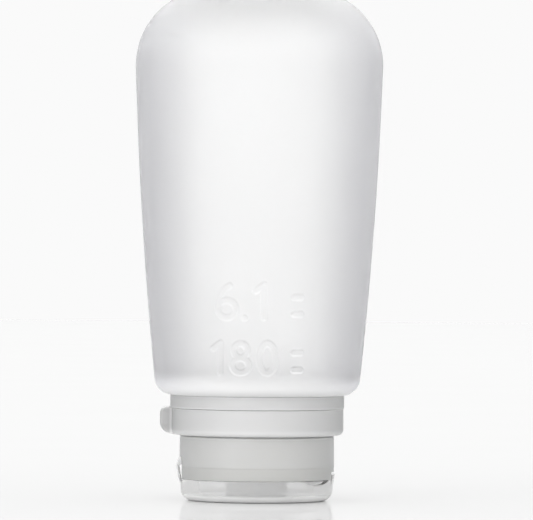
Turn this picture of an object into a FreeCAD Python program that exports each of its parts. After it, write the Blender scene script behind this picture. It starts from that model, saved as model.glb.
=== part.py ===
import FreeCAD, Part
import math
import os
import Sketcher

# Silicone travel bottle, standing on its flip lid as it does in a bathroom.
# Z is up and the origin is the middle of the lid's outer face, so the screw
# axis of the closure is the Z axis. The lid's hinge is on the -X side, the
# tongue that opens it on the +X side. Lengths are in millimetres.

doc = FreeCAD.newDocument("travel_bottle")
sheet = doc.addObject("Spreadsheet::Sheet", "Sizes")


# A length together with the sheet expression that drives it.
class Size:
    def __init__(self, number, text):
        self.number = number
        self.text = text

    def __add__(self, other):
        return combine(self, "+", other)

    def __radd__(self, other):
        return combine(other, "+", self)

    def __sub__(self, other):
        return combine(self, "-", other)

    def __rsub__(self, other):
        return combine(other, "-", self)

    def __mul__(self, other):
        return combine(self, "*", other)

    def __rmul__(self, other):
        return combine(other, "*", self)

    def __truediv__(self, other):
        return combine(self, "/", other)

    def __neg__(self):
        return 0 - self


def as_size(thing):
    if isinstance(thing, Size):
        return thing
    return Size(float(thing), repr(float(thing)))


def combine(left, sign, right):
    one = as_size(left)
    two = as_size(right)
    results = {
        "+": one.number + two.number,
        "-": one.number - two.number,
        "*": one.number * two.number,
        "/": one.number / two.number if two.number else 0.0,
    }
    return Size(results[sign], f"({one.text} {sign} {two.text})")


# Writes one driving dimension into the next row of the sheet.
def size(alias, number, note):
    row = size.row
    size.row += 1
    sheet.set(f"A{row}", note)
    sheet.set(f"B{row}", str(number))
    sheet.setAlias(f"B{row}", alias)
    return Size(float(number), f"Sizes.{alias}")


size.row = 1

# Silicone bottle
total_height = size("total_height", 121.4, "lid face to the bottle's base")
body_radius = size("body_radius", 29.4, "bottle at its widest")
corner_radius = size("corner_radius", 18.2, "round edge of the base")
side_curve = size("side_curve", 1030.0, "radius of the long, nearly straight side")
shoulder_radius = size("shoulder_radius", 24.0, "bottle where it meets the collar")
shoulder_round = size("shoulder_round", 4.3, "round edge above the collar")
silicone_wall = size("silicone_wall", 2.8, "wall of the squeezed part")
neck_wall = size("neck_wall", 1.4, "silicone lining inside the collar")
lip_thickness = size("lip_thickness", 1.2, "silicone lip folded over the collar's end")

# Neck collar
flange_overhang = size("flange_overhang", 0.15, "collar flange beyond the marker ring")
flange_height = size("flange_height", 3.05, "thickness of the flange at its rim")
journal_rise = size("journal_rise", 1.85, "journal of the marker ring above the thread's root")
neck_radius = size("neck_radius", 15.75, "threaded part, at the thread's root")
collar_wall = size("collar_wall", 1.5, "wall of the moulded collar")
bead_height = size("bead_height", 0.5, "bead that keeps the ring on its journal")
bead_width = size("bead_width", 0.7, "bead along the axis")

# Closure thread
thread_pitch = size("thread_pitch", 3.0, "rise of the thread in one turn")
thread_height = size("thread_height", 0.8, "ridge above the root")
thread_foot = size("thread_foot", 1.1, "ridge along the axis at its foot")
thread_crest = size("thread_crest", 0.6, "ridge along the axis at its crest")
thread_turns = size("thread_turns", 1.35, "turns of each ridge")
thread_start = size("thread_start", 1.5, "lowest turn above the collar's end")

# Marker ring
ring_wall = size("ring_wall", 2.6, "marker ring from bore to outside")
ring_height = size("ring_height", 6.1, "marker ring along the axis")
ring_round = size("ring_round", 1.3, "round lower edge of the ring")
tab_reach = size("tab_reach", 2.5, "thumb tab beyond the ring")
tab_width = size("tab_width", 7.0, "thumb tab across")
tab_rise = size("tab_rise", 0.4, "thumb tab above the ring's top")
tab_round_low = size("tab_round_low", 2.6, "lower corner of the tab")
tab_round_high = size("tab_round_high", 1.3, "upper corner of the tab")

# Screw cap
cap_wall = size("cap_wall", 1.45, "wall of the cap's skirt")
cap_height = size("cap_height", 9.9, "skirt from the parting line to its open end")
cap_band = size("cap_band", 0.12, "raised band round the cap's lower half")
band_low = size("band_low", 1.7, "band's lower edge above the parting line")
band_high = size("band_high", 4.5, "band's upper edge above the parting line")
cap_step = size("cap_step", 0.35, "step round the cap's open end")
step_height = size("step_height", 0.55, "step along the axis")
deck_thickness = size("deck_thickness", 1.6, "flat deck that carries the spout")
deck_drop = size("deck_drop", 0.45, "deck below the parting line, inside the lid")
plug_seal_height = size("plug_seal_height", 2.0, "sealing ring inside the mouth")
plug_seal_wall = size("plug_seal_wall", 1.0, "wall of the sealing ring")
spout_radius = size("spout_radius", 7.25, "spout hub")
spout_wall = size("spout_wall", 1.45, "wall of the hub round the valve")
spout_rise = size("spout_rise", 1.5, "hub above the deck, inside the cap")
spout_face = size("spout_face", 1.0, "end wall round the outlet")
outlet_radius = size("outlet_radius", 2.4, "outlet hole")
notch_angle = size("notch_angle", 32.0, "opening in the skirt for the lid's tongue")
notch_height = size("notch_height", 1.55, "notch above the parting line")

# Slit valve and the ring that clips it in
valve_depth = size("valve_depth", 1.4, "room under the valve's flange")
valve_seat = size("valve_seat", 1.5, "width of the valve's seat")
valve_flange = size("valve_flange", 1.0, "valve flange along the axis")
membrane = size("membrane", 0.5, "valve membrane")
slit_length = size("slit_length", 4.2, "each of the two crossed slits")
slit_width = size("slit_width", 0.12, "slit, drawn just open")
retainer_height = size("retainer_height", 1.9, "clip ring along the axis")
retainer_wall = size("retainer_wall", 2.0, "clip ring from bore to outside")
snap_height = size("snap_height", 0.35, "bead of the clip ring")

# Flip lid and its strap
lid_draft = size("lid_draft", 0.25, "how far the wall leans in towards the face")
lid_round = size("lid_round", 2.6, "round edge of the lid's face")
lid_height = size("lid_height", 5.2, "face to rim")
lid_plate = size("lid_plate", 1.7, "thickness of the lid's face")
lid_wall = size("lid_wall", 1.2, "wall of the lid")
lid_plug_height = size("lid_plug_height", 1.2, "plug that closes the outlet")
scoop_depth = size("scoop_depth", 1.1, "finger scoops in the rim")
scoop_length = size("scoop_length", 10.6, "each scoop along the rim")
scoop_angle = size("scoop_angle", 37.0, "scoops from the tongue")
tongue_angle = size("tongue_angle", 27.0, "tongue round the rim")
tongue_height = size("tongue_height", 1.2, "tongue above the rim")
tongue_lean = size("tongue_lean", 0.37, "tongue's tip outside the lid's wall")
tongue_root = size("tongue_root", 1.3, "tongue's foot below the rim")
tongue_thickness = size("tongue_thickness", 0.85, "tongue at its tip")
strap_width = size("strap_width", 7.0, "hinge strap across")
strap_thickness = size("strap_thickness", 0.45, "hinge strap")
strap_length = size("strap_length", 4.95, "strap from the lid's rim to the skirt")
strap_bulge = size("strap_bulge", 0.85, "how far the strap bows outwards")
strap_round = size("strap_round", 1.5, "bend at the strap's middle")
recess_depth = size("recess_depth", 0.55, "flat in the skirt behind the strap")

# Fits
running_gap = size("running_gap", 0.3, "between curved faces that turn or screw")
face_gap = size("face_gap", 0.15, "between flat faces that part")
ring_gap = size("ring_gap", 0.25, "line between the flange and the marker ring")
snug_gap = size("snug_gap", 0.1, "between pieces that stay together")

# Levels up the axis, worked out from the sizes above
parting_level = lid_height + face_gap
deck_face = parting_level - deck_drop
deck_inside = deck_face + deck_thickness
cap_end = parting_level + cap_height
lip_face = deck_inside + 2 * snug_gap
collar_end = lip_face + lip_thickness
bead_level = cap_end + running_gap + face_gap
ring_bottom = bead_level - snug_gap
ring_top = ring_bottom + ring_height
flange_bottom = ring_top + ring_gap
shoulder_level = flange_bottom + flange_height
spout_end = lid_plate + running_gap
valve_floor = spout_end + spout_face
valve_level = valve_floor + valve_depth

# Radii that one piece takes from another
collar_bore = neck_radius - collar_wall
ring_seat_radius = neck_radius + journal_rise
ring_bore = ring_seat_radius + running_gap
ring_radius = ring_bore + ring_wall
flange_radius = ring_radius + flange_overhang
neck_outside = collar_bore - snug_gap
mouth_radius = neck_outside - neck_wall
cap_bore = neck_radius + thread_height + running_gap
cap_radius = cap_bore + cap_wall
plug_seal_radius = mouth_radius - running_gap
valve_bore = spout_radius - spout_wall
valve_radius = valve_bore - 2 * snug_gap
valve_recess = valve_bore - valve_seat
retainer_radius = valve_bore - 2 * snug_gap
retainer_bore = retainer_radius - retainer_wall
lid_radius = cap_radius - snug_gap
lid_bore = lid_radius - lid_wall
deck_radius = lid_bore - running_gap

# Height of the turning clip ring and of the bead on it
retainer_level = valve_level + valve_flange + snug_gap
snap_level = retainer_level + 0.4 * retainer_height
snap_width = 0.3 * retainer_height


def origin_plane(body, role):
    for feature in body.Origin.OriginFeatures:
        if feature.Role == role:
            return feature
    raise ValueError(role)


def new_body(label):
    body = doc.addObject("PartDesign::Body", label)
    body.Label = label
    return body


def new_sketch(body, name, role="XZ_Plane", offset=None):
    sketch = body.newObject("Sketcher::SketchObject", name)
    sketch.AttachmentSupport = [(origin_plane(body, role), "")]
    sketch.MapMode = "FlatFace"
    if offset:
        sketch.AttachmentOffset = offset
    return sketch


# Adds a constraint, and ties it to the sheet where it carries a size.
def constrain(sketch, kind, *places, to=None, name=""):
    if to is None:
        return sketch.addConstraint(Sketcher.Constraint(kind, *places))
    wanted = as_size(to)
    index = sketch.addConstraint(Sketcher.Constraint(kind, *places, wanted.number))
    sketch.renameConstraint(index, name)
    if "Sizes" in wanted.text:
        sketch.setExpression(f"Constraints.{name}", wanted.text)
    return index


# Puts the point of a sketch element at a driven place.
def pin(sketch, element, point, across, up, name):
    if as_size(across).number == 0:
        constrain(sketch, "PointOnObject", element, point, -2)
    else:
        constrain(sketch, "DistanceX", -1, 1, element, point, to=across, name=name + "_across")
    constrain(sketch, "DistanceY", -1, 1, element, point, to=up, name=name + "_up")


# Arc element that always runs anticlockwise; says which of its ends is which.
def round_between(sketch, centre, radius, start, end, anticlockwise):
    first, last = (start, end) if anticlockwise else (end, start)
    begin = math.atan2(first.y - centre.y, first.x - centre.x)
    finish = math.atan2(last.y - centre.y, last.x - centre.x)
    if finish < begin:
        finish += 2 * math.pi
    circle = Part.Circle(centre, FreeCAD.Vector(0, 0, 1), radius)
    arc = sketch.addGeometry(Part.ArcOfCircle(circle, begin, finish), False)
    return (arc, 1, 2) if anticlockwise else (arc, 2, 1)


# Closed outline through its corners. A corner is (across, up), or
# (across, up, radius) where it is rounded.
def outline(sketch, corners):
    count = len(corners)
    places = [FreeCAD.Vector(as_size(c[0]).number, as_size(c[1]).number, 0) for c in corners]
    arrive = []
    leave = []
    rounds = []
    for i, corner in enumerate(corners):
        here = places[i]
        back = (places[i - 1] - here).normalize()
        ahead = (places[(i + 1) % count] - here).normalize()
        if len(corner) == 2:
            arrive.append(here)
            leave.append(here)
            rounds.append(None)
            continue
        radius = corner[2].number
        half = back.getAngle(ahead) / 2
        arrive.append(here + back * (radius / math.tan(half)))
        leave.append(here + ahead * (radius / math.tan(half)))
        centre = here + (back + ahead).normalize() * (radius / math.sin(half))
        left_turn = (-back).cross(ahead).z > 0
        rounds.append((centre, radius, left_turn))
    lines = []
    for i in range(count):
        segment = Part.LineSegment(leave[i], arrive[(i + 1) % count])
        lines.append(sketch.addGeometry(segment, False))
    for i, corner in enumerate(corners):
        before = lines[i - 1]
        after = lines[i]
        if rounds[i] is None:
            constrain(sketch, "Coincident", before, 2, after, 1)
            pin(sketch, after, 1, corner[0], corner[1], f"corner{i}")
            continue
        centre, radius, left_turn = rounds[i]
        arc, first, last = round_between(sketch, centre, radius, arrive[i], leave[i], left_turn)
        vertex = sketch.addGeometry(Part.Point(places[i]), True)
        pin(sketch, vertex, 1, corner[0], corner[1], f"corner{i}")
        constrain(sketch, "PointOnObject", vertex, 1, before)
        constrain(sketch, "PointOnObject", vertex, 1, after)
        constrain(sketch, "Tangent", before, 2, arc, first)
        constrain(sketch, "Tangent", arc, last, after, 1)
        constrain(sketch, "Radius", arc, to=corner[2], name=f"round{i}")
    return sketch


def drive(feature, property_name, wanted):
    feature.setExpression(property_name, as_size(wanted).text)


# Turns an outline once round the Z axis, or cuts it away.
def turn(body, name, corners, kind="Revolution", angle=None):
    sketch = outline(new_sketch(body, name + "_outline"), corners)
    return turn_sketch(body, name, sketch, kind, angle)


def turn_sketch(body, name, sketch, kind="Revolution", angle=None):
    feature = body.newObject("PartDesign::" + kind, name)
    feature.Profile = sketch
    feature.ReferenceAxis = (sketch, ["V_Axis"])
    if angle is None:
        feature.Angle = 360
    else:
        feature.Midplane = True
        drive(feature, "Angle", angle)
    doc.recompute()
    return feature


# Pushes an outline drawn on the XZ plane out to both sides of it.
def push(body, name, sketch, width, kind="Pad"):
    feature = body.newObject("PartDesign::" + kind, name)
    feature.Profile = sketch
    feature.Midplane = True
    feature.Type = "Length"
    drive(feature, "Length", width)
    doc.recompute()
    return feature


# Winds the trapezoid of a screw ridge round the axis. The ridge stands on
# foot_radius and reaches crest_radius; it sinks a little into the wall.
def ridge(body, name, foot_radius, crest_radius, level):
    outward = crest_radius.number > foot_radius.number
    sunk = foot_radius - snug_gap if outward else foot_radius + snug_gap
    corners = [
        (sunk, level - thread_foot / 2),
        (foot_radius, level - thread_foot / 2),
        (crest_radius, level - thread_crest / 2),
        (crest_radius, level + thread_crest / 2),
        (foot_radius, level + thread_foot / 2),
        (sunk, level + thread_foot / 2),
    ]
    if not outward:
        corners.reverse()
    sketch = outline(new_sketch(body, name + "_outline"), corners)
    helix = body.newObject("PartDesign::AdditiveHelix", name)
    helix.Profile = sketch
    helix.ReferenceAxis = (sketch, ["V_Axis"])
    helix.Mode = "pitch-turns-angle"
    drive(helix, "Pitch", thread_pitch)
    drive(helix, "Turns", thread_turns)
    doc.recompute()
    return helix


# Bottle side, base and shoulder as one tangent chain of arcs, offset inwards
# by inset. The chain starts on the axis at the base, and tail continues from
# the shoulder back to the axis.
def shell_outline(body, name, inset, tail, outer=None):
    sketch = new_sketch(body, name)
    top = total_height - inset
    round_radius = corner_radius - inset
    side_radius = side_curve - inset
    foot_radius = shoulder_round - inset
    foot_level = shoulder_level + inset
    corner_centre = FreeCAD.Vector(
        (body_radius - corner_radius).number, (total_height - corner_radius).number, 0
    )
    # the side arc touches the corner arc and passes the shoulder's corner
    spread = (side_curve - corner_radius).number
    reach = FreeCAD.Vector(shoulder_radius.number, shoulder_level.number, 0) - corner_centre
    lean = (side_curve.number**2 - spread**2 - reach.Length**2) / (2 * spread)
    tilt = math.atan2(reach.y, reach.x) + math.acos(lean / reach.Length)
    outward = FreeCAD.Vector(math.cos(tilt), math.sin(tilt), 0)
    side_centre = corner_centre - outward * spread
    touch = side_centre + outward * side_radius.number
    # the shoulder's round touches the side arc and the level underside
    foot_height = foot_level.number + foot_radius.number
    inner_reach = side_radius.number - foot_radius.number
    foot_across = side_centre.x + math.sqrt(inner_reach**2 - (foot_height - side_centre.y) ** 2)
    foot_centre = FreeCAD.Vector(foot_across, foot_height, 0)
    foot_touch = side_centre + (foot_centre - side_centre).normalize() * side_radius.number
    foot_start = FreeCAD.Vector(foot_across, foot_level.number, 0)
    base_start = FreeCAD.Vector(0, top.number, 0)
    base_end = FreeCAD.Vector(corner_centre.x, top.number, 0)

    base = sketch.addGeometry(Part.LineSegment(base_start, base_end), False)
    corner, corner_in, corner_out = round_between(
        sketch, corner_centre, round_radius.number, base_end, touch, False
    )
    side, side_in, side_out = round_between(
        sketch, side_centre, side_radius.number, touch, foot_touch, False
    )
    foot, foot_in, foot_out = round_between(
        sketch, foot_centre, foot_radius.number, foot_touch, foot_start, False
    )
    places = [foot_start]
    places += [FreeCAD.Vector(as_size(c[0]).number, as_size(c[1]).number, 0) for c in tail]
    places.append(base_start)
    lines = []
    for start, end in zip(places, places[1:]):
        lines.append(sketch.addGeometry(Part.LineSegment(start, end), False))

    pin(sketch, base, 1, 0, top, "base")
    constrain(sketch, "Horizontal", base)
    constrain(sketch, "Tangent", base, 2, corner, corner_in)
    constrain(sketch, "Radius", corner, to=round_radius, name="corner_round")
    constrain(sketch, "Tangent", corner, corner_out, side, side_in)
    constrain(sketch, "Radius", side, to=side_radius, name="side_round")
    constrain(sketch, "Tangent", side, side_out, foot, foot_in)
    constrain(sketch, "Radius", foot, to=foot_radius, name="foot_round")
    constrain(sketch, "Tangent", foot, foot_out, lines[0], 1)
    if outer is None:
        constrain(
            sketch, "DistanceX", -1, 1, corner, 3,
            to=body_radius - corner_radius, name="corner_across",
        )
        vertex = sketch.addGeometry(
            Part.Point(FreeCAD.Vector(shoulder_radius.number, shoulder_level.number, 0)), True
        )
        pin(sketch, vertex, 1, shoulder_radius, shoulder_level, "shoulder")
        constrain(sketch, "PointOnObject", vertex, 1, side)
    else:
        sketch.addExternal(outer.Name, "Edge3")
        constrain(sketch, "Coincident", side, 3, -3, 3)
    constrain(sketch, "Horizontal", lines[0])
    for i, corner_place in enumerate(tail):
        pin(sketch, lines[i], 2, corner_place[0], corner_place[1], f"tail{i}")
        constrain(sketch, "Coincident", lines[i], 2, lines[i + 1], 1)
    constrain(sketch, "Coincident", lines[-1], 2, base, 1)
    return sketch


# One moulding: squeezed shell, shoulder, the neck that lines the collar, and
# the lip folded over the collar's end, which is the closure's seal.
def make_bottle_body():
    body = new_body("bottle_body")
    seat_lining = ring_seat_radius - collar_wall - snug_gap
    step_level = collar_step_level()
    outside = shell_outline(body, "shell_outline", as_size(0.0), [
        (seat_lining, shoulder_level),
        (seat_lining, step_level + (seat_lining - neck_outside)),
        (neck_outside, step_level),
        (neck_outside, collar_end),
        (neck_radius - 2 * snug_gap, collar_end),
        (neck_radius - 2 * snug_gap, lip_face),
        (as_size(0.0), lip_face),
    ])
    turn_sketch(body, "shell", outside)
    throat_level = shoulder_level + silicone_wall
    cavity = shell_outline(body, "cavity_outline", silicone_wall, [
        (mouth_radius + silicone_wall, throat_level),
        (mouth_radius, throat_level - silicone_wall),
        (mouth_radius, lip_face - snug_gap),
        (as_size(0.0), lip_face - snug_gap),
    ], outer=outside)
    turn_sketch(body, "cavity", cavity, kind="Groove")
    return body


# Level at which the collar's bore widens from the thread to the ring's seat.
def collar_step_level():
    return bead_level + collar_wall


# Rigid collar trapped between the silicone shoulder and lip: flange, journal
# for the marker ring with the bead that keeps it, and the outside thread.
def make_neck_collar():
    body = new_body("neck_collar")
    seat_bore = ring_seat_radius - collar_wall
    step_level = collar_step_level()
    bead_radius = ring_seat_radius + bead_height
    turn(body, "collar", [
        (collar_bore, collar_end),
        (neck_radius, collar_end),
        (neck_radius, bead_level),
        (bead_radius - bead_width / 2, bead_level),
        (bead_radius, bead_level + bead_width / 2),
        (ring_seat_radius, bead_level + bead_width),
        (ring_seat_radius, flange_bottom),
        (flange_radius, flange_bottom),
        (flange_radius, shoulder_level),
        (seat_bore, shoulder_level),
        (seat_bore, step_level + (seat_bore - collar_bore)),
        (collar_bore, step_level),
    ])
    ridge(body, "thread", neck_radius, neck_radius + thread_height, collar_end + thread_start)
    return body


# Ring with a thumb tab that turns on the collar's journal.
def make_marker_ring():
    body = new_body("marker_ring")
    bead_room = ring_seat_radius + bead_height + running_gap
    ledge_level = bead_level + bead_width + 2 * snug_gap
    turn(body, "ring", [
        (bead_room, ring_bottom),
        (ring_radius, ring_bottom, ring_round),
        (ring_radius, ring_top),
        (ring_bore, ring_top),
        (ring_bore, ledge_level + running_gap),
        (bead_room, ledge_level),
    ])
    tab_end = -(ring_radius + tab_reach)
    tab_foot = -(ring_radius + bead_room) / 2
    tab_clear = -(flange_radius + running_gap)
    tab_low = ring_bottom + 3 * snug_gap
    tab = outline(new_sketch(body, "tab_outline"), [
        (tab_foot, tab_low),
        (tab_foot, ring_top - snug_gap),
        (tab_clear, ring_top - snug_gap),
        (tab_clear, ring_top + tab_rise),
        (tab_end, ring_top + tab_rise, tab_round_high),
        (tab_end, tab_low, tab_round_low),
    ])
    push(body, "tab", tab, tab_width)
    return body


# Cap with the deck, the spout that holds the valve, the ring that seals the
# mouth, the inside thread, and the places of the lid's tongue and strap.
def make_screw_cap():
    body = new_body("screw_cap")
    snap_room = retainer_radius + snap_height + 2 * snug_gap
    snap_low = snap_level - snug_gap
    snap_high = snap_level + snap_width + snug_gap
    hub_top = deck_inside + spout_rise
    band_radius = cap_radius + cap_band
    turn(body, "cap", [
        (outlet_radius, spout_end),
        (spout_radius, spout_end),
        (spout_radius, deck_face),
        (deck_radius, deck_face),
        (deck_radius, parting_level),
        (cap_radius, parting_level),
        (band_radius, parting_level + band_low),
        (band_radius, parting_level + band_high),
        (cap_radius, parting_level + band_high + running_gap),
        (cap_radius, cap_end - step_height),
        (cap_radius - cap_step, cap_end - step_height),
        (cap_radius - cap_step, cap_end),
        (cap_bore, cap_end),
        (cap_bore, deck_inside),
        (plug_seal_radius, deck_inside),
        (plug_seal_radius, deck_inside + plug_seal_height),
        (plug_seal_radius - plug_seal_wall, deck_inside + plug_seal_height),
        (plug_seal_radius - plug_seal_wall, deck_inside),
        (spout_radius, deck_inside),
        (spout_radius, hub_top),
        (valve_bore, hub_top),
        (valve_bore, snap_high),
        (snap_room, snap_high - snap_height / 2),
        (snap_room, snap_low + snap_height / 2),
        (valve_bore, snap_low),
        (valve_bore, valve_level),
        (valve_recess, valve_level),
        (valve_recess, valve_floor),
        (outlet_radius, valve_floor),
    ])
    # the cap's ridge runs half a pitch away from the collar's
    ridge(body, "thread", cap_bore, cap_bore - thread_height,
          collar_end + thread_start - thread_pitch / 2)
    # notch for the tongue
    notch_root = lid_radius + tongue_lean - tongue_thickness - running_gap
    turn(body, "notch", [
        (notch_root, parting_level - running_gap),
        (cap_radius + tongue_thickness, parting_level - running_gap),
        (cap_radius + tongue_thickness, parting_level + notch_height),
        (notch_root, parting_level + notch_height),
    ], kind="Groove", angle=notch_angle)
    # flat behind the strap
    flat_place = cap_radius - recess_depth
    recess = outline(new_sketch(body, "recess_outline"), [
        (-flat_place, parting_level - running_gap),
        (-flat_place, strap_top_level()),
        (-(cap_radius + strap_bulge), strap_top_level()),
        (-(cap_radius + strap_bulge), parting_level - running_gap),
    ])
    push(body, "strap_recess", recess, 2 * cap_radius, kind="Pocket")
    return body


def strap_top_level():
    return lid_height + snug_gap + strap_length


# Domed disc of silicone with two crossed slits; it opens under a squeeze.
def make_slit_valve():
    body = new_body("slit_valve")
    dome_radius = valve_recess - 2 * snug_gap
    dome_low = valve_floor + running_gap
    crown = dome_radius - (valve_level - dome_low)
    turn(body, "valve", [
        (as_size(0.0), dome_low),
        (crown, dome_low),
        (dome_radius, valve_level),
        (valve_radius, valve_level),
        (valve_radius, valve_level + valve_flange),
        (dome_radius - membrane, valve_level + valve_flange),
        (dome_radius - membrane, valve_level + membrane / 2),
        (crown - membrane / 2, dome_low + membrane),
        (as_size(0.0), dome_low + membrane),
    ])
    for name, across, along in (
        ("slit_one", slit_length, slit_width),
        ("slit_two", slit_width, slit_length),
    ):
        slit = outline(new_sketch(body, name + "_outline", "XY_Plane"), [
            (-across / 2, -along / 2),
            (across / 2, -along / 2),
            (across / 2, along / 2),
            (-across / 2, along / 2),
        ])
        cut = body.newObject("PartDesign::Pocket", name)
        cut.Profile = slit
        cut.Type = "Length"
        cut.Reversed = True
        drive(cut, "Length", valve_level + valve_flange)
        doc.recompute()
    return body


# Clip ring that holds the valve down on its seat.
def make_valve_retainer():
    body = new_body("valve_retainer")
    snap_radius = retainer_radius + snap_height
    turn(body, "retainer", [
        (retainer_bore, retainer_level),
        (retainer_radius, retainer_level),
        (retainer_radius, snap_level),
        (snap_radius, snap_level + snap_width / 3),
        (snap_radius, snap_level + 2 * snap_width / 3),
        (retainer_radius, snap_level + snap_width),
        (retainer_radius, retainer_level + retainer_height),
        (retainer_bore, retainer_level + retainer_height),
    ])
    return body


# Thin strap bowed outwards between the skirt and the lid's rim.
def make_hinge_strap():
    body = new_body("hinge_strap")
    low = lid_height + snug_gap
    top = strap_top_level()
    outside = -(lid_radius + strap_thickness / 4)
    bow = outside - strap_bulge
    bow_level = low + 0.66 * strap_length
    strap = outline(new_sketch(body, "strap_outline"), [
        (outside, low),
        (bow, bow_level, strap_round),
        (outside, top),
        (outside + strap_thickness, top),
        (bow + strap_thickness, bow_level, strap_round - strap_thickness),
        (outside + strap_thickness, low),
    ])
    push(body, "strap", strap, strap_width)
    return body


# Shallow cup with the plug that closes the outlet, the tongue that lifts it
# and a scoop in the rim on each side of the tongue.
def make_flip_lid():
    body = new_body("flip_lid")
    face_radius = lid_radius - lid_draft
    plug_radius = outlet_radius - running_gap
    turn(body, "lid", [
        (as_size(0.0), as_size(0.0)),
        (face_radius, as_size(0.0), lid_round),
        (lid_radius, lid_height),
        (lid_bore, lid_height),
        (face_radius - lid_wall, lid_plate),
        (plug_radius, lid_plate),
        (plug_radius, lid_plate + lid_plug_height),
        (as_size(0.0), lid_plate + lid_plug_height),
    ])
    # scoops, cut square to the wall at each side of the tongue
    arch = (scoop_length * scoop_length / 4 + scoop_depth * scoop_depth) / (2 * scoop_depth)
    scoop_sketch = new_sketch(body, "scoop_outline", "YZ_Plane")
    centre = FreeCAD.Vector(0, (lid_height - scoop_depth + arch).number, 0)
    circle = scoop_sketch.addGeometry(
        Part.Circle(centre, FreeCAD.Vector(0, 0, 1), arch.number), False
    )
    constrain(scoop_sketch, "PointOnObject", circle, 3, -2)
    constrain(scoop_sketch, "DistanceY", -1, 1, circle, 3,
              to=lid_height - scoop_depth + arch, name="arch_level")
    constrain(scoop_sketch, "Radius", circle, to=arch, name="arch_radius")
    # the sketch turns about the axis; in its own frame that axis is Y
    scoop_sketch.AttachmentOffset = FreeCAD.Placement(
        FreeCAD.Vector(0, 0, 0), FreeCAD.Rotation(FreeCAD.Vector(0, 1, 0), scoop_angle.number)
    )
    scoop_sketch.setExpression("AttachmentOffset.Rotation.Angle", scoop_angle.text)
    scoop = body.newObject("PartDesign::Pocket", "scoop")
    scoop.Profile = scoop_sketch
    scoop.Type = "Length"
    scoop.Reversed = True
    drive(scoop, "Length", 2 * lid_radius)
    doc.recompute()
    mirror = body.newObject("PartDesign::Mirrored", "scoop_pair")
    mirror.Originals = [scoop]
    mirror.MirrorPlane = (origin_plane(body, "XZ_Plane"), [""])
    body.Tip = mirror
    doc.recompute()
    tip_radius = lid_radius + tongue_lean
    turn(body, "tongue", [
        (lid_radius - tongue_thickness, lid_height - tongue_root),
        (lid_radius - snug_gap, lid_height - tongue_root),
        (tip_radius, lid_height + tongue_height - snug_gap),
        (tip_radius - snug_gap, lid_height + tongue_height),
        (tip_radius - tongue_thickness, lid_height + tongue_height),
    ], angle=tongue_angle)
    return body


makers = [
    make_bottle_body,
    make_neck_collar,
    make_marker_ring,
    make_screw_cap,
    make_slit_valve,
    make_valve_retainer,
    make_hinge_strap,
    make_flip_lid,
]
parts = [make() for make in makers]
doc.recompute()

for item in doc.Objects:
    if "Invalid" in item.State or "Error" in item.State:
        raise RuntimeError(f"{item.Name} failed: {item.State}")
for part in parts:
    if part.Shape.isNull() or not part.Shape.isValid():
        raise RuntimeError(f"{part.Label} has no valid shape")

os.makedirs("parts", exist_ok=True)
for part in parts:
    part.Shape.exportStep(f"parts/{part.Label}.step")
    box = part.Shape.BoundBox
    print(
        f"{part.Label}: {len(part.Shape.Solids)} solid, {part.Shape.Volume:.1f} mm3, "
        f"z {box.ZMin:.2f} to {box.ZMax:.2f}, x {box.XMin:.2f} to {box.XMax:.2f}"
    )
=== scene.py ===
import bpy
import math
import numpy as np
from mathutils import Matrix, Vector


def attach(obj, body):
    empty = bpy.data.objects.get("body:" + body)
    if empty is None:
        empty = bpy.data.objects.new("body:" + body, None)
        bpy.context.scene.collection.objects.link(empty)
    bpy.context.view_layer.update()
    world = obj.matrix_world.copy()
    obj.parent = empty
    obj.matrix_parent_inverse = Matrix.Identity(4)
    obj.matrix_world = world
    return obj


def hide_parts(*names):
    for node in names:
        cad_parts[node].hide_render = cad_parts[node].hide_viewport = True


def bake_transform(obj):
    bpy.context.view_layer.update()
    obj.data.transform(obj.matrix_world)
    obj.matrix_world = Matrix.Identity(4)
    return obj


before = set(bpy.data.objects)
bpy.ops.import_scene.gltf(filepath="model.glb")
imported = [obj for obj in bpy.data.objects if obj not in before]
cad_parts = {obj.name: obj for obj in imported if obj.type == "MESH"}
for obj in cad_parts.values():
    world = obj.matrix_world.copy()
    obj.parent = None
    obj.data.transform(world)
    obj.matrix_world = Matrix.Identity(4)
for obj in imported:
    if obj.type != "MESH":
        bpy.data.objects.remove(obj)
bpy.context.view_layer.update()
scene = bpy.context.scene
mm = 0.001

# Colours and nodes


def toLinear(hexColour):  # "#rrggbb" as seen on screen, to the linear values that Blender mixes
    out = []
    for i in (1, 3, 5):
        c = int(hexColour[i:i + 2], 16) / 255
        out.append(c / 12.92 if c <= 0.04045 else ((c + 0.055) / 1.055) ** 2.4)
    return (*out, 1.0)


def addNode(tree, kind, settings=None, links=None):
    # settings: property, or socket name or number -> value; links: socket -> (node, output)
    node = tree.nodes.new(kind)
    for key, value in (settings or {}).items():
        if isinstance(key, str) and hasattr(node, key):
            setattr(node, key, value)
        else:
            node.inputs[key].default_value = value
    for key, (source, output) in (links or {}).items():
        tree.links.new(source.outputs[output], node.inputs[key])
    return node


mixFirst, mixSecond, mixed = 6, 7, 2  # the colour sockets of a Mix node
mixColours = {"data_type": "RGBA"}
multiplyColours = {"data_type": "RGBA", "blend_type": "MULTIPLY", "Factor": 1.0}
tonesTop = 125  # level in mm at the top of every ramp of tones
noOuter = (40, 41, "#ffffff")  # for the pieces that have one tone all the way out


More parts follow.
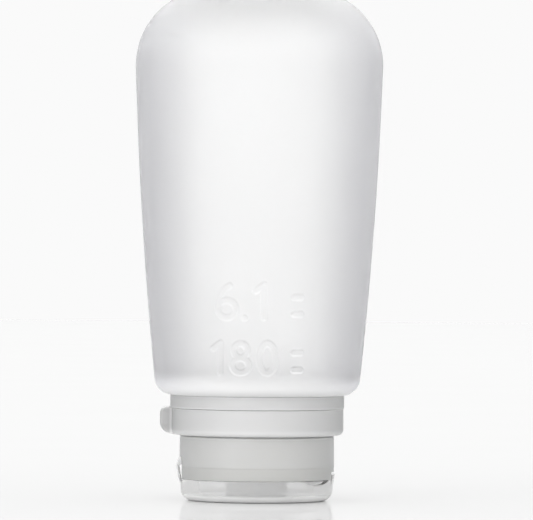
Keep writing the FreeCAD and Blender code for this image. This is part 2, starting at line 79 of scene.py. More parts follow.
# A moulded piece that lets light through: etched skin, cloudy gloss, and painted shade where it turns away
# sideways
def moulding(name, look):
    material = bpy.data.materials.new(name)
    material.use_nodes = True
    tree = material.node_tree
    tree.nodes.clear()
    coords = addNode(tree, "ShaderNodeTexCoord")
    grain = addNode(tree, "ShaderNodeTexNoise", {
        "Scale": 1 / (look["grainMm"] * mm), "Detail": 3.0, "Roughness": 0.6,
    }, {"Vector": (coords, "Object")})
    cloud = addNode(tree, "ShaderNodeTexNoise", {
        "Scale": 1 / (look["cloudMm"] * mm), "Detail": 2.0,
    }, {"Vector": (coords, "Object")})
    roughness = addNode(tree, "ShaderNodeMapRange", {
        "From Min": 0.3, "From Max": 0.7,
        "To Min": look["roughness"] - look["roughnessSpread"],
        "To Max": look["roughness"] + look["roughnessSpread"],
    }, {"Value": (cloud, "Fac")})
    bump = addNode(tree, "ShaderNodeBump", {
        "Strength": look["bumpStrength"], "Distance": look["bumpMm"] * mm,
    }, {"Height": (grain, "Fac")})

    # painted edge shade: how far the skin turns away, times 1 - z * z of its normal, so that level edges stay
    # pale, without the painted shade
    slant = addNode(tree, "ShaderNodeLayerWeight", {"Blend": 0.5})
    normal = addNode(tree, "ShaderNodeSeparateXYZ", {}, {"Vector": (coords, "Normal")})
    lying = addNode(tree, "ShaderNodeMath", {"operation": "MULTIPLY"}, {0: (normal, "Z"), 1: (normal, "Z")})
    upright = addNode(tree, "ShaderNodeMath", {"operation": "SUBTRACT", 0: 1.0}, {1: (lying, "Value")})
    sideways = addNode(tree, "ShaderNodeMath", {"operation": "MULTIPLY"}, {
        0: (slant, "Facing"), 1: (upright, "Value"),
    })
    edge = addNode(tree, "ShaderNodeMapRange", {
        "From Min": look["edgeShadeStart"], "From Max": look["edgeShadeReach"],
    }, {"Value": (sideways, "Value")})
    edgeShaded = addNode(tree, "ShaderNodeMix", {
        **mixColours, mixFirst: toLinear(look["colour"]), mixSecond: toLinear(look["edgeShadeColour"]),
    }, {"Factor": (edge, "Result")})
    clouded = addNode(tree, "ShaderNodeMix", {
        **multiplyColours, mixSecond: toLinear(look["cloudColour"]),
    }, {"Factor": (cloud, "Fac"), mixFirst: (edgeShaded, mixed)})

    # tones by level, and one more tone away from the axis; where a ramp turns pale at a seam, under an overhang or
    # on the hub inside the lid, that is painted light for light passing through the plastic
    place = addNode(tree, "ShaderNodeSeparateXYZ", {}, {"Vector": (coords, "Object")})
    share = addNode(tree, "ShaderNodeMapRange", {"From Max": tonesTop * mm}, {"Value": (place, "Z")})
    tonesAndPaintedLight = addNode(tree, "ShaderNodeValToRGB", {}, {"Fac": (share, "Result")})
    stops = tonesAndPaintedLight.color_ramp.elements
    for i, (level, tone) in enumerate(look["tonesAndPaintedLight"]):
        stop = stops[i] if i < 2 else stops.new(1.0)
        stop.position = level / tonesTop
        stop.color = toLinear(tone)
    tonedWithPaintedLight = addNode(tree, "ShaderNodeMix", multiplyColours, {
        mixFirst: (clouded, mixed), mixSecond: (tonesAndPaintedLight, "Color"),
    })
    flat = addNode(tree, "ShaderNodeVectorMath", {"operation": "MULTIPLY", 1: (1, 1, 0)}, {0: (coords, "Object")})
    away = addNode(tree, "ShaderNodeVectorMath", {"operation": "LENGTH"}, {0: (flat, 0)})
    near, far, outerTone = look["outer"]  # distances from the axis in mm, and the tone beyond them
    beyond = addNode(tree, "ShaderNodeMapRange", {
        "From Min": near * mm, "From Max": far * mm,
    }, {"Value": (away, "Value")})
    outer = addNode(tree, "ShaderNodeMix", {
        **multiplyColours, mixSecond: toLinear(outerTone),
    }, {"Factor": (beyond, "Result"), mixFirst: (tonedWithPaintedLight, mixed)})

    low, high = look["zone"]  # levels in mm between which the clarity changes
    clarity = addNode(tree, "ShaderNodeMapRange", {
        "interpolation_type": "SMOOTHSTEP", "From Min": low * mm, "From Max": high * mm,
        "To Min": look["transmissionBelow"], "To Max": look["transmission"],
    }, {"Value": (place, "Z")})
    shader = addNode(tree, "ShaderNodeBsdfPrincipled", {
        "IOR": look["ior"], "Metallic": 0.0,
        "Subsurface Weight": look["milk"], "Subsurface Scale": look["milkMm"] * mm,
        "Subsurface Radius": (1.0, 0.98, 0.95),
    }, {
        "Base Color": (outer, mixed), "Roughness": (roughness, "Result"), "Normal": (bump, "Normal"),
        "Transmission Weight": (clarity, "Result"),
    })
    dim = addNode(tree, "ShaderNodeVolumeAbsorption", {
        "Color": toLinear(look["tint"]), "Density": look["dimPerMm"] / mm,
    })
    addNode(tree, "ShaderNodeOutputMaterial", {}, {"Surface": (shader, "BSDF"), "Volume": (dim, "Volume")})
    return material


# Liquid silicone rubber moulded in an etched tool: the soft matt skin blurs what is behind it, and the
# thick foot is milky
siliconeLook = {
    # the edge colour is painted shade where the skin turns away sideways
    "colour": "#fdfdfd", "edgeShadeColour": "#e5e5e8", "edgeShadeStart": 0.13, "edgeShadeReach": 0.55, "cloudColour": "#fafafa",
    "tonesAndPaintedLight": [(0, "#fcfcfc"), (29, "#fcfcfc"), (34, "#ffffff")], "outer": noOuter,
    "ior": 1.41, "transmission": 0.97, "zone": (26.5, 31.0), "transmissionBelow": 0.08, "milk": 0.0, "milkMm": 3,
    "roughness": 0.5, "roughnessSpread": 0.03, "cloudMm": 18,
    "grainMm": 0.35, "bumpMm": 0.02, "bumpStrength": 0.15, "tint": "#202428", "dimPerMm": 0.006,
}
siliconeMoulded = moulding("siliconeEtchedMoulded", siliconeLook)

# The same rubber from a polished tool: the valve looks wet and a little clearer
valveLook = {
    # the edge colour, kept from the rubber, is painted shade where the skin turns away sideways
    **siliconeLook, "tonesAndPaintedLight": [(0, "#ffffff"), (1, "#ffffff")], "zone": (0, 1), "transmission": 0.45,
    "transmissionBelow": 0.45, "milk": 1.0, "milkMm": 2.0, "roughness": 0.34, "cloudMm": 4, "grainMm": 0.25,
}
siliconePolished = moulding("siliconePolishedMoulded", valveLook)

# Polypropylene moulded with a fine matt skin: milky and soft, with painted shade at the sides and painted light at
# its seams
mattLook = {
    # the edge colour is painted shade where the skin turns away sideways; the tones turn pale at the ring's bottom
    # rounding, at the seam between ring and flange and at the flange's top by the shoulder, painted light for
    # light passing through the plastic
    "colour": "#f8f8f8", "edgeShadeColour": "#b6b7b7", "edgeShadeStart": 0.0, "edgeShadeReach": 0.85, "cloudColour": "#fafafa",
    "tonesAndPaintedLight": [(0, "#f0f0f0"), (15.6, "#f0f0f0"), (17.0, "#e7e7e7"), (21.9, "#e7e7e7"), (22.0, "#ffffff"),
              (22.4, "#e6e6e6"), (24.6, "#e6e6e6"), (25.0, "#ffffff")],
    "outer": (20.7, 21.2, "#dddddd"),
    "ior": 1.49, "transmission": 0.2, "zone": (16.0, 17.5), "transmissionBelow": 0.0, "milk": 1.0, "milkMm": 1.2,
    "roughness": 0.45, "roughnessSpread": 0.03, "cloudMm": 9,
    "grainMm": 0.3, "bumpMm": 0.015, "bumpStrength": 0.12, "tint": "#202020", "dimPerMm": 0.01,
}
polypropyleneMatt = moulding("polypropyleneMattMoulded", mattLook)

# Natural polypropylene from a smoother tool: a little greyer, with a soft shine
naturalLook = {
    # the edge colour is painted shade where the skin turns away sideways; the tones are white below 4.7 mm on the
    # hub inside the lid and above 15.2 mm at the cap's top under the ring's overhang, painted light for light
    # passing through the plastic, and a little darker from 5.3 to 7.6 mm
    "colour": "#fafaf9", "edgeShadeColour": "#c4c5c5", "edgeShadeStart": 0.0, "edgeShadeReach": 0.85, "cloudColour": "#fafaf9",
    "tonesAndPaintedLight": [(0, "#ffffff"), (4.7, "#ffffff"), (5.3, "#d8d8d7"), (7.6, "#d8d8d7"), (8.8, "#dedede"),
              (14.9, "#dedede"), (15.2, "#ffffff")],
    "outer": noOuter,
    "ior": 1.49, "transmission": 0.22, "zone": (4.7, 5.3), "transmissionBelow": 0.05, "milk": 1.0, "milkMm": 1.0,
    "roughness": 0.35, "roughnessSpread": 0.03, "cloudMm": 7,
    "grainMm": 0.5, "bumpMm": 0.01, "bumpStrength": 0.1, "tint": "#202120", "dimPerMm": 0.015,
}
polypropyleneNatural = moulding("polypropyleneNaturalMoulded", naturalLook)

# Clear polypropylene from a polished tool: see-through with a slight haze
clearLook = {
    # the edge colour is painted shade where the skin turns away sideways
    "colour": "#ffffff", "edgeShadeColour": "#efefee", "edgeShadeStart": 0.0, "edgeShadeReach": 0.9, "cloudColour": "#fbfbfb",
    "tonesAndPaintedLight": [(0, "#f2f2f2"), (1.1, "#f2f2f2"), (1.9, "#ffffff")], "outer": noOuter,
    "ior": 1.45, "transmission": 0.73, "zone": (1.1, 1.9), "transmissionBelow": 0.2, "milk": 0.0, "milkMm": 1.5,
    "roughness": 0.12, "roughnessSpread": 0.02, "cloudMm": 6,
    "grainMm": 0.8, "bumpMm": 0.01, "bumpStrength": 0.08, "tint": "#202121", "dimPerMm": 0.0005,
}
polypropyleneClear = moulding("polypropyleneClearMoulded", clearLook)

# The hinge web between cap and lid: thin and flexed white, so milkier than the lid
webLook = {
    # the edge colour is painted shade where the strap turns away sideways
    **clearLook, "colour": "#f6f6f6", "edgeShadeColour": "#d6d7d7", "tonesAndPaintedLight": [(0, "#ffffff"), (1, "#ffffff")],
    "zone": (0, 1), "transmission": 0.4, "transmissionBelow": 0.4, "milk": 1.0, "dimPerMm": 0.002,
    "roughness": 0.34, "grainMm": 0.4,
}
polypropyleneWeb = moulding("polypropyleneWebMoulded", webLook)
print("materials done")

# Outlines and lofted pieces. Every outline is closed, (radius, height) in mm.


def roundCorners(corners, arcStep=math.radians(15)):
    # a corner is (radius, height) or (radius, height, rounding)
    count = len(corners)
    points = []
    for i, corner in enumerate(corners):
        here = Vector(corner[:2])
        if len(corner) == 2 or corner[2] <= 0:
            points.append(tuple(here))
            continue
        back = (Vector(corners[i - 1][:2]) - here).normalized()
        ahead = (Vector(corners[(i + 1) % count][:2]) - here).normalized()
        half = back.angle(ahead) / 2
        reach = corner[2] / math.tan(half)
        centre = here + (back + ahead).normalized() * (corner[2] / math.sin(half))
        start = here + back * reach - centre
        sweep = math.pi - 2 * half
        side = 1 if ahead.x * back.y > ahead.y * back.x else -1
        steps = max(2, round(sweep / arcStep))
        for k in range(steps + 1):
            turn = side * sweep * k / steps
            points.append((
                centre.x + start.x * math.cos(turn) - start.y * math.sin(turn),
                centre.y + start.x * math.sin(turn) + start.y * math.cos(turn),
            ))
    return points


def addRows(points, low, high, step):
    # breaks up the steep lines between two levels, so that the rows there lie step apart
    steepest = 0.6  # a line that runs further across than this share of its height counts as flat
    out = []
    for a, b in zip(points, points[1:] + points[:1]):
        out.append(a)
        top, bottom = max(a[1], b[1]), min(a[1], b[1])
        if abs(a[0] - b[0]) > steepest * abs(a[1] - b[1]) or top <= low or bottom >= high:
            continue
        count = max(1, math.ceil((top - bottom) / step))
        for k in range(1, count):
            out.append((a[0] + (b[0] - a[0]) * k / count, a[1] + (b[1] - a[1]) * k / count))
    return out


def meshPiece(name, vertices, faces, material, sharpDegrees):
    points = np.array(vertices)
    triangles = np.array([(f[0], f[i], f[i + 1]) for f in faces for i in range(1, len(f) - 1)])
    a, b, c = (points[triangles[:, i]] for i in range(3))
    if np.sum(a * np.cross(b, c)) < 0:
        faces = [f[::-1] for f in faces]
    mesh = bpy.data.meshes.new(name)
    mesh.from_pydata(points.tolist(), [], faces)
    mesh.validate()
    mesh.polygons.foreach_set("use_smooth", [True] * len(mesh.polygons))
    mesh.set_sharp_from_angle(angle=math.radians(sharpDegrees))
    mesh.materials.append(material)
    piece = bpy.data.objects.new(name, mesh)
    scene.collection.objects.link(piece)
    return piece


def loft(name, columns, material, sharpDegrees=35, closed=True):
    # columns: closed loops of (x, y, z) in mm, all with the same count, one beside the next
    tiny = 1e-6
    vertices, faces, rows, onAxis = [], [], [], {}
    for column in columns:
        row = []
        for x, y, z in column:
            if closed and abs(x) < tiny and abs(y) < tiny:
                if round(z, 4) not in onAxis:
                    onAxis[round(z, 4)] = len(vertices)
                    vertices.append((0, 0, z * mm))
                row.append(onAxis[round(z, 4)])
            else:
                row.append(len(vertices))
                vertices.append((x * mm, y * mm, z * mm))
        rows.append(row)
    pairs = zip(rows, rows[1:] + rows[:1]) if closed else zip(rows, rows[1:])
    for row, ahead in pairs:
        for i in range(len(row)):
            j = (i + 1) % len(row)
            face = list(dict.fromkeys((row[i], ahead[i], ahead[j], row[j])))
            if len(face) > 2:
                faces.append(face)
    if not closed:
        faces.append(rows[0])
        faces.append(rows[-1][::-1])
    return meshPiece(name, vertices, faces, material, sharpDegrees)


def turned(name, outline, material, angles, warp=None, sharpDegrees=35):
    # angles: degrees from +X round the axis; warp moves the (radius, height) grid of rows and columns
    across, level = (np.repeat(np.array(side)[:, None], len(angles), 1) for side in zip(*outline))
    around = np.repeat(np.array(angles)[None, :], len(outline), 0)
    if warp:
        across, level = warp(across, level, around)
    turn = np.radians(around)
    columns = np.stack([across * np.cos(turn), across * np.sin(turn), level], -1).swapaxes(0, 1)
    return loft(name, columns.tolist(), material, sharpDegrees)


def circleAngles(count, *extra):
    # even columns, and pairs of columns set close where a feature ends, degrees
    room, apart = 0.3, 0.02
    even = [a for a in np.linspace(-180, 180, count, endpoint=False)
            if all(abs(a - e) > room for e in extra)]
    return np.sort(even + [e - apart for e in extra] + [e + apart for e in extra])


# Screw thread, shared by collar and cap: ridge, run-out in degrees, and the levels where the ridges start
thread = {
    "pitch": 3.0, "height": 0.8, "foot": 1.1, "crest": 0.6, "turns": 1.35, "runOut": 8.0,
    "collarStart": 9.4, "capStart": 7.9,
}


def ridgeHeight(level, around, start):
    # how far the screw's ridge stands out at each point, mm
    best = np.zeros(level.shape)
    for lap in (0, 1):
        turn = np.where(around < 0, around + 360, around) + 360 * lap
        centre = start + thread["pitch"] * turn / 360
        flank = (thread["foot"] - thread["crest"]) / 2
        side = np.clip((thread["foot"] / 2 - np.abs(level - centre)) / flank, 0, 1)
        runOut = np.clip(np.minimum(turn, thread["turns"] * 360 - turn) / thread["runOut"], 0, 1)
        best = np.maximum(best, side * runOut)
    return thread["height"] * best


# Bottle: silicone shell with raised figures

bottle = {
    "height": 121.4, "radius": 29.37, "corner": 18.2, "sideCurve": 1030.0, "shoulder": 24.0,
    "shoulderRound": 4.3, "wall": 2.8, "shoulderLevel": 25.0, "seatLining": 16.0, "neck": 14.15,
    "mouth": 12.75, "lip": 15.55, "collarEnd": 7.9, "lipFace": 6.7, "stepLevel": 17.2,
}


def arcRow(centre, radius, start, end, steps):
    return [
        (centre[0] + radius * math.cos(start + (end - start) * k / steps),
         centre[1] + radius * math.sin(start + (end - start) * k / steps))
        for k in range(steps + 1)
    ]


def bottleChain(inset, sideLevels, cornerSteps, footSteps):
    # base corner, side and shoulder as one tangent chain, from the axis down to the shoulder
    b = bottle
    corner = (b["radius"] - b["corner"], b["height"] - b["corner"])
    spread = b["sideCurve"] - b["corner"]
    reach = (b["shoulder"] - corner[0], b["shoulderLevel"] - corner[1])
    far = math.hypot(*reach)
    lean = (b["sideCurve"] ** 2 - spread ** 2 - far ** 2) / (2 * spread)
    tilt = math.atan2(reach[1], reach[0]) + math.acos(lean / far)
    side = (corner[0] - spread * math.cos(tilt), corner[1] - spread * math.sin(tilt))
    sideRadius = b["sideCurve"] - inset
    footRadius = b["shoulderRound"] - inset
    footLevel = b["shoulderLevel"] + inset + footRadius
    footAcross = side[0] + math.sqrt((sideRadius - footRadius) ** 2 - (footLevel - side[1]) ** 2)
    footTilt = math.atan2(footLevel - side[1], footAcross - side[0])
    points = [(0, b["height"] - inset), (corner[0] * 0.5, b["height"] - inset)]
    points += arcRow(corner, b["corner"] - inset, math.pi / 2, tilt, cornerSteps)
    topLevel = side[1] + sideRadius * math.sin(tilt)
    lowLevel = side[1] + sideRadius * math.sin(footTilt)
    for level in sideLevels:
        if lowLevel + 0.1 < level < topLevel - 0.3:
            points.append((side[0] + math.sqrt(sideRadius ** 2 - (level - side[1]) ** 2), level))
    points += arcRow((footAcross, footLevel), footRadius, footTilt, -math.pi / 2, footSteps)
    return points


# Raised plain figures: centre lines of the strokes in a box one high, drawn one by one
figures = {
    "stroke": 1.35, "rise": 0.19, "edge": 0.5, "reach": 31.0, "step": 0.17, "low": 29.0, "high": 53.4,
    "inner": 23.2, "faceRadius": 25.0, "frontAngle": -90,
}


def bow(x, y, rx, ry, start, end):
    steps = 24
    return [
        (x + rx * math.cos(math.radians(start + (end - start) * k / steps)),
         y + ry * math.sin(math.radians(start + (end - start) * k / steps)))
        for k in range(steps + 1)
    ]


strokes = {
    "0": [bow(0.3, 0.5, 0.23, 0.42, 0, 360)],
    "1": [[(0.12, 0.76), (0.34, 0.92), (0.34, 0.08)]],
    "6": [bow(0.3, 0.3, 0.23, 0.22, 0, 360), bow(0.5, 0.3, 0.43, 0.62, 180, 108)],
    "8": [bow(0.3, 0.71, 0.19, 0.2, 0, 360), bow(0.3, 0.29, 0.23, 0.21, 0, 360)],
    ".": [[(0.0, 0.07), (0.01, 0.07)]],
}
rows = [  # figure, left edge, bottom, height, mm
    ("6", -10.0, 42.9, 9.2), (".", -3.1, 42.9, 9.2), ("1", -1.6, 42.9, 9.2),
    ("1", -11.6, 30.1, 8.3), ("8", -6.4, 30.1, 8.3), ("0", -0.2, 30.1, 8.3),
]
lines = [
    [(left + x * height, bottom + y * height) for x, y in stroke]
    for figure, left, bottom, height in rows for stroke in strokes[figure]
]
for level in (31.5, 35.5, 44.5, 48.5):  # short marks of a scale at the right
    lines.append([(8.6, level), (10.4, level)])


def figureWarp(across, level, around):
    # the front faces -Y, and the figures read upright with the base up
    out = across.copy()
    margin = 1
    rowsNear = (across[:, 0] > figures["inner"]) & (level[:, 0] > figures["low"] - margin)
    rowsNear &= level[:, 0] < figures["high"] + margin
    fromFront = np.mod(around - figures["frontAngle"] + 180, 360) - 180
    sideways = fromFront[rowsNear] * math.pi / 180 * across[rowsNear]
    height = level[rowsNear]
    nearest = np.full(sideways.shape, np.inf)
    for line in lines:
        for (x1, y1), (x2, y2) in zip(line, line[1:]):
            dx, dy = x2 - x1, y2 - y1
            along = np.clip(((sideways - x1) * dx + (height - y1) * dy) / (dx * dx + dy * dy), 0, 1)
            nearest = np.minimum(nearest, np.hypot(sideways - x1 - along * dx, height - y1 - along * dy))
    inside = np.clip((figures["stroke"] / 2 + figures["edge"] / 2 - nearest) / figures["edge"], 0, 1)
    out[rowsNear] += figures["rise"] * inside * inside * (3 - 2 * inside)
    return out, level


fineLevels = np.arange(figures["high"], figures["low"], -figures["step"])
shellOutline = bottleChain(0, list(np.arange(100, figures["high"] + 1, -3.0)) + list(fineLevels), 28, 12)
shellOutline += roundCorners([
    (bottle["seatLining"], bottle["shoulderLevel"]), (bottle["seatLining"], bottle["stepLevel"] + 1.85),
    (bottle["neck"], bottle["stepLevel"]), (bottle["neck"], bottle["collarEnd"]),
    (bottle["lip"], bottle["collarEnd"], 0.15), (bottle["lip"], bottle["lipFace"], 0.3),
    (bottle["mouth"], bottle["lipFace"], 0.3), (bottle["mouth"], bottle["shoulderLevel"]),
])
shellOutline += reversed(bottleChain(bottle["wall"], np.arange(100, 30, -4.0), 24, 8))
fine = figures["step"] / figures["faceRadius"] * 180 / math.pi
firstFine, lastFine = (figures["frontAngle"] + side * figures["reach"] for side in (-1, 1))
shellAngles = np.concatenate([
    np.arange(firstFine, lastFine, fine),
    np.linspace(lastFine, firstFine + 360, 120, endpoint=False),
])
shell = turned("bottleShell", shellOutline, siliconeMoulded, shellAngles, figureWarp, sharpDegrees=50)
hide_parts("bottle_body")
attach(shell, "bottle")
print("bottle shell", len(shell.data.polygons))

# Neck collar: flange, journal with its bead, and the outside thread

collarWall = {"radius": 15.75, "threadLow": 8.0, "threadHigh": 15.6, "rowStep": 0.16}
collarCorners = [
    (14.25, 7.9), (15.75, 7.9, 0.2), (15.75, 15.7), (17.75, 15.7, 0.1), (18.1, 16.05, 0.1),
    (17.6, 16.4), (17.6, 21.95), (20.65, 21.95, 0.06), (20.65, 25.0, 0.12), (16.1, 25.0),
    (16.1, 19.05), (14.25, 17.2),
]


def collarWarp(across, level, around):
    onWall = (np.abs(across - collarWall["radius"]) < 0.25) & (level > collarWall["threadLow"])
    onWall &= level < collarWall["threadHigh"]
    return across + np.where(onWall, ridgeHeight(level, around, thread["collarStart"]), 0), level


collar = turned(
    "neckCollar",
    addRows(roundCorners(collarCorners), collarWall["threadLow"], collarWall["threadHigh"], collarWall["rowStep"]),
    polypropyleneMatt, circleAngles(216), collarWarp,
)
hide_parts("neck_collar")
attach(collar, "bottle")

# Marker ring with its thumb tab towards -X

ringWall = {"radius": 20.5, "bottom": 15.6, "top": 21.87}
tab = {
    "halfWidth": 3.5, "end": 23.0, "low": 15.9, "high": 22.1, "clear": 20.95,
    "start": 20.45, "reach": 2.55, "soften": 0.45,
}
ringPath = [
    (18.4, ringWall["bottom"]), (ringWall["radius"], ringWall["bottom"], 1.3),
    (ringWall["radius"], ringWall["top"], 0.06), (17.9, ringWall["top"]),
]
tabPath = [
    (18.4, ringWall["bottom"]), (19.6, ringWall["bottom"], 0.15), (19.75, tab["low"], 0.15),
    (tab["end"], tab["low"], 2.6), (tab["end"], tab["high"], 1.3), (tab["clear"], tab["high"], 0.3),
    (20.8, 21.86), (17.9, ringWall["top"]),
]
ringInside = [(17.9, 17.0), (18.4, 16.6)]


def resampled(corners, count):
    # an open path, broken into equal steps; the two far corners close it for the rounding and are dropped
    far = [(corners[-1][0] - 3, corners[-1][1] + 9), (corners[0][0] - 3, corners[0][1] - 9)]
    points = roundCorners(list(corners) + far)
    points = np.array(points[:-2])
    length = np.concatenate([[0], np.cumsum(np.hypot(*np.diff(points, axis=0).T))])
    places = np.linspace(0, length[-1], count)
    return list(zip(np.interp(places, length, points[:, 0]), np.interp(places, length, points[:, 1])))


ringPlain = resampled(ringPath, 60) + ringInside
ringTab = resampled(tabPath, 60) + ringInside
tabAngle = math.degrees(math.asin(tab["halfWidth"] / ringWall["radius"]))
ringColumns = []
for angle in np.linspace(tabAngle, 360 - tabAngle, 200):
    turn = math.radians(180 + angle)
    ringColumns.append([(r * math.cos(turn), r * math.sin(turn), z) for r, z in ringPlain])
for share in np.sin(np.linspace(-math.pi / 2, math.pi / 2, 25)):
    side = tab["halfWidth"] * share
    turn = math.pi + math.asin(side / ringWall["radius"])
    soften = tab["soften"] * abs(share) ** 12  # the tab's upright edges are rounded
    column = []
    for r, z in ringTab:
        if r > tab["start"]:
            column.append((-(r - soften * (r - tab["start"]) / tab["reach"]), -side, z))
        else:
            column.append((r * math.cos(turn), r * math.sin(turn), z))
    ringColumns.append(column)
ring = loft("markerRing", ringColumns, polypropyleneMatt)
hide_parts("marker_ring")
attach(ring, "ring")

# Screw cap: deck, spout, sealing ring, inside thread, notch and flat

cap = {
    "notchHalf": 16.0, "notchRadius": 17.42, "notchTop": 6.9, "flat": 17.75, "flatTop": 10.25,
    "flatFrom": 0.9, "skirt": 17.8, "bore": 16.85, "threadLow": 6.7, "threadHigh": 15.0,
}
capCorners = [
    (2.4, 2.0, 0.15), (7.25, 2.0, 0.25), (7.25, 4.9), (16.7, 4.9), (16.7, 5.24), (18.3, 5.24, 0.04),
    (18.3, 6.88), (18.3, 6.92), (18.3, 8.05), (18.38, 8.2),
    (18.37, 10.23), (18.37, 10.27), (18.3, 15.25, 0.12), (17.95, 15.25), (17.95, 15.5, 0.04),
    (16.85, 15.5, 0.12), (16.85, 6.5), (12.45, 6.5), (12.45, 8.5, 0.3), (11.45, 8.5, 0.3),
    (11.45, 6.5), (7.25, 6.5), (7.25, 8.0, 0.2), (5.8, 8.0, 0.2), (5.8, 6.95), (6.15, 6.7),
    (6.15, 6.2), (5.8, 5.95), (5.8, 4.4), (4.3, 4.4), (4.3, 3.0), (2.4, 3.0),
]


def capWarp(across, level, around):
    onBore = (np.abs(across - cap["bore"]) < 0.25) & (level > cap["threadLow"]) & (level < cap["threadHigh"])
    out = across - np.where(onBore, ridgeHeight(level, around, thread["capStart"]), 0)
    outside = across > cap["skirt"]
    inNotch = outside & (np.abs(around) < cap["notchHalf"]) & (level < cap["notchTop"])
    out = np.where(inNotch, np.minimum(out, cap["notchRadius"]), out)
    towards = -np.cos(np.radians(around))
    onFlat = outside & (towards > cap["flatFrom"]) & (level < cap["flatTop"])
    flatAcross = cap["flat"] / np.maximum(towards, cap["flatFrom"])
    return np.where(onFlat, np.minimum(out, flatAcross), out), level


capPiece = turned(
    "screwCap", addRows(roundCorners(capCorners), 7.0, 14.9, 0.18), polypropyleneNatural,
    circleAngles(216, -cap["notchHalf"], cap["notchHalf"]), capWarp,
)
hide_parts("screw_cap")
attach(capPiece, "cap")

# Flip lid: clear cup, plug, tongue and two scoops

lid = {
    "rim": 5.2, "bendLevel": 3.7, "tongueTop": 6.4, "tongueHalf": 13.5, "tongueLean": 0.37,
    "scoopAngle": 37.0, "scoopArch": 13.32, "scoopCentre": 17.42, "scoopHalf": 6.0,
    "wallFrom": 15.0, "tongueInside": 17.6, "tongueThinner": 0.35,
}
lidCorners = [
    (0, 0.12), (1.4, 0.12), (1.6, 0), (17.95, 0, 2.6), (18.2, 5.2, 0.06), (17.0, 5.2, 0.15),
    (16.75, 1.25, 0.5), (2.1, 1.25), (2.1, 2.9, 0.3), (0, 2.9),
]


def lidWarp(across, level, around):
    rim = np.full(level.shape, lid["rim"])
    for side in (-1, 1):
        turn = np.radians(around - side * lid["scoopAngle"])
        offset = across * np.sin(turn)
        near = (np.cos(turn) > 0) & (np.abs(offset) < lid["scoopHalf"])
        arch = lid["scoopCentre"] - np.sqrt(np.maximum(lid["scoopArch"] ** 2 - offset ** 2, 0))
        rim = np.where(near, np.minimum(rim, arch), rim)
    wall = across > lid["wallFrom"]
    onTongue = (np.abs(around) < lid["tongueHalf"]) & wall
    rim = np.where(onTongue, lid["tongueTop"], rim)
    share = np.clip((level - lid["bendLevel"]) / (lid["rim"] - lid["bendLevel"]), 0, None)
    lifted = np.where(wall & (share > 0), lid["bendLevel"] + share * (rim - lid["bendLevel"]), level)
    thinner = np.where(across < lid["tongueInside"], lid["tongueThinner"], 0)  # the tongue is thinner
    out = across + np.where(onTongue, share * (lid["tongueLean"] + thinner), 0)
    return out, lifted


lidPiece = turned(
    "flipLid", addRows(roundCorners(lidCorners), 2.6, 5.2, 0.2), polypropyleneClear,
    circleAngles(240, -lid["tongueHalf"], lid["tongueHalf"]), lidWarp,
)
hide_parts("flip_lid")
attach(lidPiece, "lid")

# Hinge strap: a thin bowed strip, rounded along its edges

strap = {"halfWidth": 3.5, "halfThick": 0.22, "edge": 0.18, "belly": 0.75}
strapPath = roundCorners([
    (-18.0, 4.5), (-18.3, 5.3, 1.0), (-18.92, 8.57, 1.6), (-18.1, 10.25, 0.6), (-17.7, 10.3),
], math.radians(4))
strapPath = np.array(strapPath)
directions = np.gradient(strapPath, axis=0)
directions /= np.hypot(*directions.T)[:, None]
section = roundCorners([
    (across * strap["halfWidth"], depth * strap["halfThick"], strap["edge"])
    for across, depth in ((-1, -1), (1, -1), (1, 1), (-1, 1))
])
strapColumns = []
for (x, z), (dx, dz), share in zip(strapPath, directions, np.linspace(0, 1, len(strapPath))):
    belly = strap["belly"] * math.sin(math.pi * share) ** 2  # thicker on the inside, halfway up
    column = [(side, depth + (belly if depth > 0 else 0)) for side, depth in section]
    strapColumns.append([(x + depth * dz, side, z - depth * dx) for side, depth in column])
strapPiece = loft("hingeStrap", strapColumns, polypropyleneWeb, closed=False)
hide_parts("hinge_strap")
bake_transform(strapPiece)

# The valve and its clip ring are carried over

for node, material in {"slit_valve": siliconePolished, "valve_retainer": polypropyleneNatural}.items():
    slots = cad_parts[node].data.materials
    slots.clear()
    slots.append(material)
print("closure done")

# Studio: pale glossy floor, soft white surround

# White acrylic sheet: a soft mirror at a low angle, hazy from above
floorLook = {
    "colour": "#d6d6d6", "haze": "#e4e4e4", "hazeShare": 0.35, "ior": 1.25,
    "roughness": 0.06, "roughnessShare": 0.2, "halfSize": 3.0,
}
floorMaterial = bpy.data.materials.new("acrylicSheetGlossy")
floorMaterial.use_nodes = True
floorTree = floorMaterial.node_tree
floorShader = floorTree.nodes["Principled BSDF"]
floorShader.inputs["Base Color"].default_value = toLinear(floorLook["colour"])
floorShader.inputs["IOR"].default_value = floorLook["ior"]
floorCoords = addNode(floorTree, "ShaderNodeTexCoord")
floorCloud = addNode(floorTree, "ShaderNodeTexNoise", {
    "Scale": 12.0, "Detail": 3.0,
}, {"Vector": (floorCoords, "Object")})
floorGloss = addNode(floorTree, "ShaderNodeMapRange", {
    "To Min": floorLook["roughness"] * (1 - floorLook["roughnessShare"]),
    "To Max": floorLook["roughness"] * (1 + floorLook["roughnessShare"]),
}, {"Value": (floorCloud, "Fac")})
floorTree.links.new(floorGloss.outputs["Result"], floorShader.inputs["Roughness"])
floorMatt = addNode(floorTree, "ShaderNodeBsdfDiffuse", {"Color": toLinear(floorLook["haze"])})
floorMix = addNode(floorTree, "ShaderNodeMixShader", {"Fac": floorLook["hazeShare"]}, {
    1: (floorShader, "BSDF"), 2: (floorMatt, "BSDF"),
})
floorTree.links.new(floorMix.outputs["Shader"], floorTree.nodes["Material Output"].inputs["Surface"])
half = floorLook["halfSize"]
floorMesh = bpy.data.meshes.new("floorSheet")
floorMesh.from_pydata(
    [(-half, -half, 0), (half, -half, 0), (half, half, 0), (-half, half, 0)], [], [(0, 1, 2, 3)],
)
floorMesh.materials.append(floorMaterial)
floor = bpy.data.objects.new("floorSheet", floorMesh)
scene.collection.objects.link(floor)

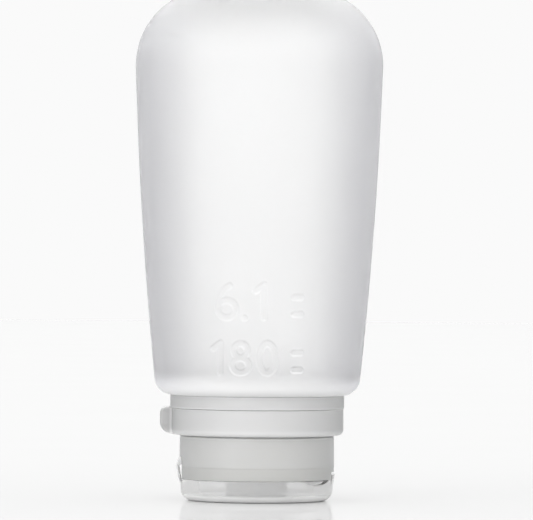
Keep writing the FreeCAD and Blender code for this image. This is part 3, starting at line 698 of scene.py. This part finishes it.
# Brightness by direction: the horizon and all below it, a bright band above, darker overhead
surround = {
    "horizon": 0.956, "high": 2.05, "bandStart": 0.1, "bandEnd": 0.3,
    "overhead": 0.6, "fadeStart": 0.5, "fadeEnd": 0.85,
}
world = bpy.data.worlds.new("softSurround")
scene.world = world
world.use_nodes = True
sky = world.node_tree
direction = addNode(sky, "ShaderNodeTexCoord")
parts = addNode(sky, "ShaderNodeSeparateXYZ", {}, {"Vector": (direction, "Generated")})
strength = addNode(sky, "ShaderNodeMapRange", {
    "interpolation_type": "SMOOTHSTEP", "From Min": surround["bandStart"], "From Max": surround["bandEnd"],
    "To Min": surround["horizon"], "To Max": surround["high"],
}, {"Value": (parts, "Z")})
fade = addNode(sky, "ShaderNodeMapRange", {
    "interpolation_type": "SMOOTHSTEP", "From Min": surround["fadeStart"], "From Max": surround["fadeEnd"],
    "To Min": 1.0, "To Max": surround["overhead"] / surround["high"],
}, {"Value": (parts, "Z")})
faded = addNode(sky, "ShaderNodeMath", {"operation": "MULTIPLY"}, {
    0: (strength, "Result"), 1: (fade, "Result"),
})
sky.nodes["Background"].inputs["Color"].default_value = (1, 1, 1, 1)
sky.links.new(faded.outputs["Value"], sky.nodes["Background"].inputs["Strength"])

# Large soft panel at the left, low
key = {"place": (-0.8, -0.9, 0.3), "aim": (0, 0, 0.04), "width": 0.8, "watts": 3.6}
keyLight = bpy.data.objects.new("keyPanel", bpy.data.lights.new("keyPanel", "AREA"))
scene.collection.objects.link(keyLight)
keyLight.data.size = key["width"]
keyLight.data.energy = key["watts"]
keyLight.location = key["place"]
keyLight.rotation_euler = (Vector(key["aim"]) - keyLight.location).to_track_quat("-Z", "Y").to_euler()

# Camera at the photograph's angle

view = {
    "mmPerPixel": 0.2375, "width": 533, "height": 520, "axisColumn": 258.2, "floorRow": 500.3,
    "eyeRow": 250.0, "distance": 1200.0, "roll": 0.4, "sensor": 36.0,
}
eyeLevel = (view["floorRow"] - view["eyeRow"]) * view["mmPerPixel"]
aimLevel = (view["floorRow"] - view["height"] / 2) * view["mmPerPixel"]
aimAcross = (view["width"] / 2 - view["axisColumn"]) * view["mmPerPixel"]
camera = bpy.data.objects.new("camera", bpy.data.cameras.new("camera"))
scene.collection.objects.link(camera)
camera.location = (aimAcross * mm, -view["distance"] * mm, eyeLevel * mm)
aim = Vector((aimAcross * mm, 0, aimLevel * mm)) - camera.location
camera.rotation_euler = aim.to_track_quat("-Z", "Y").to_euler()
camera.rotation_euler.rotate_axis("Z", math.radians(view["roll"]))
camera.data.sensor_width = view["sensor"]
camera.data.lens = view["sensor"] * view["distance"] / (view["width"] * view["mmPerPixel"])
camera.data.clip_end = 20
scene.camera = camera
scene.view_settings.view_transform = "Standard"
scene.cycles.max_bounces = 20
scene.cycles.diffuse_bounces = 10
scene.cycles.transmission_bounces = 20

print("camera and size done")
